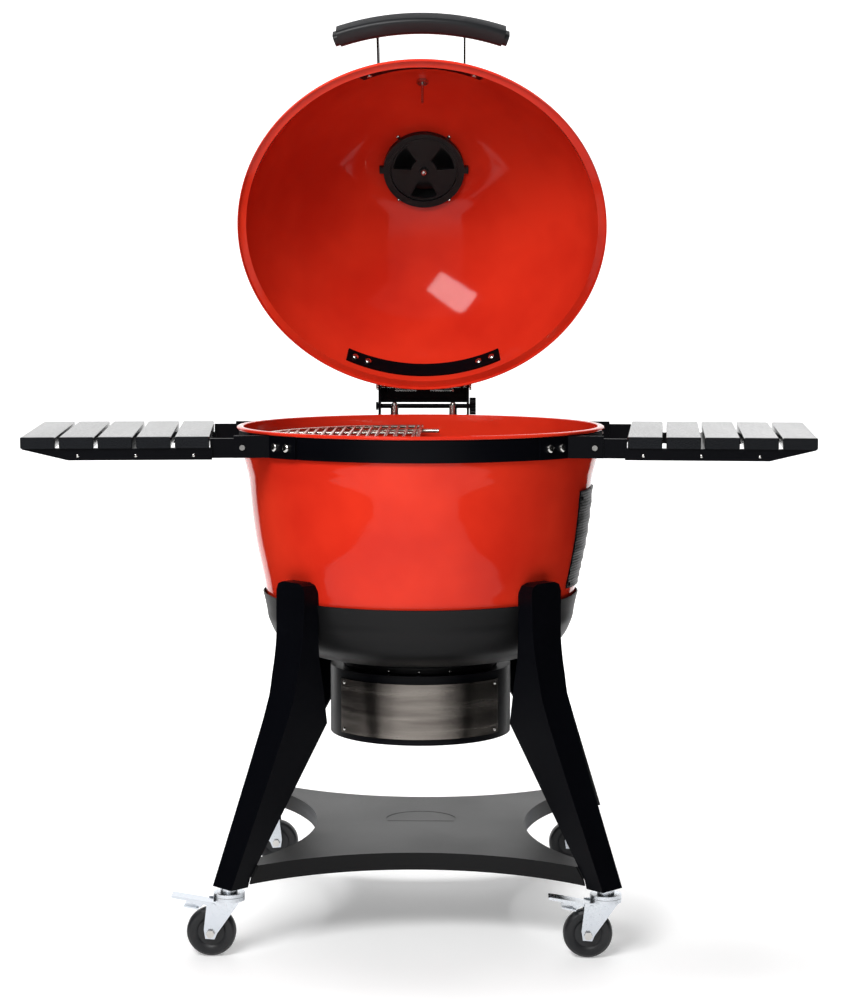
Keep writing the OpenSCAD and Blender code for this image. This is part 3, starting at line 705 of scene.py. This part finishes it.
@dataclass
class Hinge:
    """The lid's hinge with its two coil springs."""

    wire_r: float = 2.05
    coil_r: float = 9.5
    turns: int = 9
    pitch: float = 4.25
    start: float = 12.5

    def springs(self) -> None:
        """Winds the two springs about the hinge pin."""
        tree = Tree("spring_coils", {"Coil radius": self.coil_r / 1000,
                                     "Wire radius": self.wire_r / 1000,
                                     "Turns": float(self.turns),
                                     "Length": self.turns * self.pitch / 1000,
                                     "Start": self.start / 1000})
        spiral = tree.node("GeometryNodeCurveSpiral",
                           {"Resolution": 28, "Rotations": "@Turns",
                            "Start Radius": "@Coil radius", "End Radius": "@Coil radius",
                            "Height": "@Length"})
        wire = tree.sweep(spiral.outputs[0], "@Wire radius", 10)
        coils = []
        for turn in (math.pi / 2, -math.pi / 2):
            sign = 1.0 if turn > 0 else -1.0
            away = tree.vector(tree.maths("MULTIPLY", "@Start", sign))
            coils.append(tree.node("GeometryNodeTransform",
                                   {"Geometry": wire, "Translation": away,
                                    "Rotation": (0.0, turn, 0.0)}).outputs[0])
        mesh = tree.mesh(tree.join(*coils), PAINT.for_node("hinge_spring"), 60)
        mesh.transform(Matrix.Translation((0, HINGE_Y / 1000, HINGE_Z / 1000)))
        place("hinge_coils", mesh, "hinge_spring")

    def build(self) -> None:
        """Builds the springs and dresses the plates."""
        self.springs()
        for node in ("hinge_arm", "hinge_base", "hinge_pin", "hinge_spacers", "hinge_knob"):
            skin(node)


class Side(Enum):
    """A side of the grill."""

    LEFT = -1
    RIGHT = 1


@dataclass
class SideShelf:
    """A folding side shelf of five moulded slats on two rails."""

    side: Side
    slats: int = 5
    slat_w: float = 52.5
    slat_l: float = 400.0
    slat_t: float = 18.0
    pitch: float = 58.5
    first: float = 50.0
    top: float = 785.0
    pivot_x: float = 286.6
    sweep: float = 5.0
    edge: float = 2.0

    def frame_to_grill(self) -> Matrix:
        """Finds the shelf's place in the grill.

        Returns:
            The matrix from the shelf's own frame to the grill's.
        """
        sign = self.side.value
        place_it = (Matrix.Translation((sign * self.pivot_x / 1000, KETTLE_Y / 1000, 0))
                    @ Matrix.Rotation(math.radians(-sign * self.sweep), 4, "Z"))
        return place_it @ Matrix.Scale(sign, 4, (1, 0, 0))

    def slat_mesh(self) -> bpy.types.Mesh:
        """Moulds the row of slats with rounded edges.

        Returns:
            The slats' mesh in the shelf's own frame.
        """
        tree = Tree(f"slats_{self.side.name.lower()}",
                    {"Count": self.slats, "Pitch": self.pitch / 1000,
                     "Width": self.slat_w / 1000, "Length": self.slat_l / 1000,
                     "Thickness": (self.slat_t - 0.02) / 1000, "Edge": self.edge / 1000,
                     "First": (self.first + self.slat_w / 2) / 1000,
                     "Middle": (self.top - self.slat_t / 2 + 0.01) / 1000})
        section = tree.node("GeometryNodeCurvePrimitiveQuadrilateral",
                            {"Width": "@Width", "Height": "@Thickness"})
        rounded = tree.node("GeometryNodeFilletCurve",
                            {"Curve": section.outputs[0], "Radius": "@Edge", "Count": 4},
                            mode="POLY")
        half = tree.maths("DIVIDE", "@Length", 2.0)
        line = tree.node("GeometryNodeCurvePrimitiveLine",
                         {"Start": tree.vector(0.0, tree.maths("MULTIPLY", half, -1.0), 0.0),
                          "End": tree.vector(0.0, half, 0.0)})
        count = tree.node("GeometryNodeResampleCurve", {"Curve": line.outputs[0], "Count": 161})
        where = tree.node("GeometryNodeSplineParameter")
        inset = tree.maths("ABSOLUTE", tree.maths("SUBTRACT", where.outputs["Factor"], 0.5))
        ends = tree.maths("MULTIPLY", tree.maths("GREATER_THAN", inset, 0.499), 0.035)
        radius = tree.node("GeometryNodeSetCurveRadius",
                           {"Curve": count.outputs[0],
                            "Radius": tree.maths("SUBTRACT", 1.0, ends)})
        bar = tree.node("GeometryNodeCurveToMesh",
                        {"Curve": radius.outputs[0], "Profile Curve": rounded.outputs[0],
                         "Fill Caps": True})
        if "Scale" in bar.inputs:
            tree.group.links.new(tree.node("GeometryNodeInputRadius").outputs[0],
                                 bar.inputs["Scale"])
        row = tree.node("GeometryNodeMeshLine",
                        {"Count": "@Count", "Start Location": tree.vector("@First", 0.0, "@Middle"),
                         "Offset": tree.vector("@Pitch")})
        many = tree.node("GeometryNodeInstanceOnPoints",
                         {"Points": row.outputs[0], "Instance": bar.outputs[0]})
        node = f"shelf_{self.side.name.lower()}_slats"
        return tree.mesh(many.outputs[0], PAINT.for_node(node), WIRE_CREASE)

    def build(self) -> None:
        """Builds the slats and dresses the rails and screws."""
        side = self.side.name.lower()
        mesh = self.slat_mesh()
        mesh.transform(self.frame_to_grill())
        if self.side is Side.LEFT:
            mesh.flip_normals()
        place(f"slats_{side}", mesh, f"shelf_{side}_slats")
        skin(f"shelf_{side}_frame")
        skin(f"shelf_screws_{side}")


@dataclass
class HalfGrate:
    """A half-round cooking grate of steel wires."""

    side: Side
    radius: float
    height: float
    wires: int = 16
    first: float = 12.0
    pitch: float = 15.0
    wire_r: float = 2.5
    rim_r: float = 3.2
    rod_y: float = 120.0
    rod_drop: float = 2.2
    spine_x: float = 4.0

    def build(self) -> None:
        """Bends and lays the wires."""
        side = self.side.name.lower()
        tree = Tree(f"wires_{side}", {"Count": self.wires, "First": -self.first / 1000,
                                      "Pitch": -self.pitch / 1000, "Radius": self.radius / 1000,
                                      "Wire radius": self.wire_r / 1000,
                                      "Rim radius": self.rim_r / 1000})
        row = tree.node("GeometryNodeMeshLine", {"Count": "@Count",
                                                 "Start Location": tree.vector("@First"),
                                                 "Offset": tree.vector("@Pitch")})
        spot = tree.node("ShaderNodeSeparateXYZ",
                         {0: tree.node("GeometryNodeInputPosition").outputs[0]})
        squares = tree.maths("SUBTRACT", tree.maths("POWER", "@Radius", 2.0),
                             tree.maths("POWER", tree.maths("ABSOLUTE", spot.outputs[0]), 2.0))
        half = tree.maths("SQRT", squares)
        line = tree.node("GeometryNodeCurvePrimitiveLine",
                         {"Start": (0.0, -1.0, 0.0), "End": (0.0, 1.0, 0.0)})
        laid = tree.node("GeometryNodeInstanceOnPoints",
                         {"Points": row.outputs[0], "Instance": line.outputs[0],
                          "Scale": tree.vector(1.0, half, 1.0)})
        real = tree.node("GeometryNodeRealizeInstances", {"Geometry": laid.outputs[0]})
        parts = [tree.sweep(real.outputs[0], "@Wire radius")]
        arc = tree.node("GeometryNodeCurveArc",
                        {"Resolution": 97, "Radius": "@Radius", "Start Angle": math.pi / 2,
                         "Sweep Angle": math.pi})
        parts.append(tree.sweep(arc.outputs[0], "@Rim radius", 16))
        back = tree.maths("MULTIPLY", "@Radius", -1.0)
        spine = tree.node("GeometryNodeCurvePrimitiveLine",
                          {"Start": tree.vector(-self.spine_x / 1000, back, 0.0),
                           "End": tree.vector(-self.spine_x / 1000, "@Radius", 0.0)})
        parts.append(tree.sweep(spine.outputs[0], "@Rim radius", 16))
        for y in (-self.rod_y / 1000, 0.0, self.rod_y / 1000):
            reach = tree.maths("SQRT", tree.maths("SUBTRACT",
                                                  tree.maths("POWER", "@Radius", 2.0), y * y))
            cross = tree.node("GeometryNodeCurvePrimitiveLine",
                              {"Start": (-self.spine_x / 1000, y, -self.rod_drop / 1000),
                               "End": tree.vector(tree.maths("MULTIPLY", reach, -1.0), y,
                                                  -self.rod_drop / 1000)})
            parts.append(tree.sweep(cross.outputs[0], "@Wire radius"))
        node = f"half_grate_{side}"
        mesh = tree.mesh(tree.join(*parts), PAINT.for_node(node), WIRE_CREASE)
        turn = 0.0 if self.side is Side.LEFT else math.pi
        mesh.transform(Matrix.Translation((0, KETTLE_Y / 1000, self.height / 1000))
                       @ Matrix.Rotation(turn, 4, "Z"))
        place(f"grate_wires_{side}", mesh, node)


@dataclass
class Cart:
    """The legs, the lower shelf and the ash catcher."""

    def build(self) -> None:
        """Dresses the cart's nodes."""
        for node in ("leg_front_left", "leg_front_right", "leg_rear_left", "leg_rear_right",
                     "lower_shelf", "ash_drum", "ash_drawer", "drawer_face", "face_rivets",
                     "ember_ring", "fire_grate", "grate_rack", "caster_stems"):
            skin(node)


@dataclass
class Caster:
    """A swivelling caster."""

    spot: str
    braked: bool

    def build(self) -> None:
        """Dresses the fork, wheel, axle and, in front, the brake pedal."""
        for node in (f"fork_{self.spot}", f"wheel_{self.spot}", f"axle_{self.spot}"):
            skin(node)
        if self.braked:
            skin(f"pedal_{self.spot.split('_')[1]}")


@dataclass
class Studio:
    """Pale floor, soft lights and the camera."""

    focal_px: float = 2320.2
    pitch: float = 5.463
    yaw: float = 1.029
    distance: float = 3.7326
    height: float = 1.0218
    sensor: float = 36.0
    picture_px: float = 1005.0
    floor_y: float = 6.0
    floor_half: float = 14.0
    cove_r: float = 4.0
    wall_z: float = 12.0
    glow: tuple[float, float] = (0.26, 0.80)
    glow_y: tuple[float, float] = (0.8, 3.2)
    sky_strength: float = 0.30

    def camera(self) -> None:
        """Sets the camera at the viewing angle."""
        data = bpy.data.cameras.new("view")
        data.sensor_width = self.sensor
        data.lens = self.focal_px * self.sensor / self.picture_px
        data.clip_end = 50.0
        cam = bpy.data.objects.new("view", data)
        turn = math.radians(self.yaw)
        cam.location = (self.distance * math.sin(turn),
                        KETTLE_Y / 1000 - self.distance * math.cos(turn), self.height)
        cam.rotation_euler = (math.radians(90 - self.pitch), 0.0, turn)
        bpy.context.scene.collection.objects.link(cam)
        bpy.context.scene.camera = cam

    def floor(self) -> None:
        """Lays a wide pale floor that curves up behind."""
        rows = [(-9.0, 0.0), (self.floor_y, 0.0)]
        rows += [(self.floor_y + self.cove_r * math.sin(a),
                  self.cove_r - self.cove_r * math.cos(a))
                 for a in (math.radians(9 * k) for k in range(1, 11))]
        rows.append((self.floor_y + self.cove_r, self.wall_z))
        verts = [(x, y, z) for y, z in rows for x in (-self.floor_half, self.floor_half)]
        faces = [(2 * i, 2 * i + 1, 2 * i + 3, 2 * i + 2) for i in range(len(rows) - 1)]
        mesh = bpy.data.meshes.new("floor")
        mesh.from_pydata(verts, [], faces)
        for poly in mesh.polygons:
            poly.use_smooth = True
        obj = bpy.data.objects.new("floor", mesh)
        bpy.context.scene.collection.objects.link(obj)
        mat = Finish("pale_floor", (0.92, 0.92, 0.92), 0.6, bump=0.0,
                     tint=(0.91, 0.91, 0.91)).make()
        shader = next(n for n in mat.node_tree.nodes if n.type == "BSDF_PRINCIPLED")
        shader.inputs["Emission Color"].default_value = (1.0, 1.0, 1.0, 1.0)
        nodes, link = mat.node_tree.nodes, mat.node_tree.links.new
        place_at, split = nodes.new("ShaderNodeTexCoord"), nodes.new("ShaderNodeSeparateXYZ")
        fade = nodes.new("ShaderNodeMapRange")
        link(place_at.outputs["Object"], split.inputs[0])
        link(split.outputs["Y"], fade.inputs["Value"])
        for socket, value in zip(("From Min", "From Max", "To Min", "To Max"),
                                 self.glow_y + self.glow):
            fade.inputs[socket].default_value = value
        link(fade.outputs[0], shader.inputs["Emission Strength"])
        mesh.materials.append(mat)

    def lamp(self, name: str, spot: tuple[float, float, float], aim: tuple[float, float, float],
             size: tuple[float, float], power: float, mirrored: bool = True,
             roll: float = 0.0) -> None:
        """Adds a soft rectangular light.

        Args:
            name: The light's name.
            spot: Where it stands, in metres.
            aim: The point that it faces.
            size: Its width and height.
            power: Its power in watts.
            mirrored: Whether glossy surfaces show it.
            roll: Its turn about its own beam, in degrees.
        """
        data = bpy.data.lights.new(name, "AREA")
        data.shape = "RECTANGLE"
        data.size, data.size_y = size
        data.energy = power
        obj = bpy.data.objects.new(name, data)
        obj.visible_glossy = mirrored
        obj.location = spot
        beam = (Vector(aim) - Vector(spot)).to_track_quat("-Z", "Y")
        obj.rotation_euler = (beam @ Euler((0, 0, math.radians(roll))).to_quaternion()).to_euler()
        bpy.context.scene.collection.objects.link(obj)

    def flag(self, name: str, x: float) -> None:
        """Stands a black panel beside the grill, out of the camera's sight.

        Args:
            name: The panel's name.
            x: How far out it stands, in metres.
        """
        corners = [(x, -2.3, 0.02), (x, 1.3, 0.02), (x, 1.3, 2.1), (x, -2.3, 2.1)]
        mesh = bpy.data.meshes.new(name)
        mesh.from_pydata(corners, [], [(0, 1, 2, 3) if x < 0 else (3, 2, 1, 0)])
        obj = bpy.data.objects.new(name, mesh)
        bpy.context.scene.collection.objects.link(obj)
        mesh.materials.append(Finish("flag_black", (0.004, 0.004, 0.004), 0.9,
                                     specular=0.0).make())
        obj.visible_camera = obj.visible_shadow = False

    def sky(self) -> None:
        """Sets an even white surrounding light."""
        world = bpy.data.worlds.new("studio")
        world.use_nodes = True
        world.node_tree.nodes["Background"].inputs["Color"].default_value = (1, 1, 1, 1)
        world.node_tree.nodes["Background"].inputs["Strength"].default_value = self.sky_strength
        bpy.context.scene.world = world

    def build(self) -> None:
        """Builds the whole studio."""
        self.floor()
        self.sky()
        self.flag("flag_left", -1.25)
        self.flag("flag_right", 1.05)
        self.lamp("key", (-1.15, -2.75, 2.85), (0.05, 0.2, 0.95), (1.9, 1.0), 112.0, roll=-30.0)
        self.lamp("front", (0.1, -5.2, 1.6), (0.0, 0.0, 0.6), (3.6, 2.2), 24.0, mirrored=False)
        self.lamp("top", (0.0, 1.0, 3.6), (0.0, 0.0, 0.5), (2.2, 1.5), 105.0, mirrored=False)
        self.camera()
        scene = bpy.context.scene
        scene.view_settings.view_transform = "Standard"
        LOG.info("studio built")


def main() -> None:
    """Builds the grill's looks and the studio."""
    logging.basicConfig(level=logging.INFO, format="%(name)s: %(message)s")
    for part in frame["record"]["subparts"]:
        PAINT.dress(part["node"])
    Kettle().build()
    Lid().build()
    Hinge().build()
    for side in Side:
        SideShelf(side).build()
    HalfGrate(Side.LEFT, radius=261.0, height=771.4).build()
    HalfGrate(Side.RIGHT, radius=253.5, height=735.4).build()
    Cart().build()
    for spot in ("front_left", "front_right", "rear_left", "rear_right"):
        Caster(spot, braked=spot.startswith("front")).build()
    Studio().build()


if __name__ == "__main__":
    main()
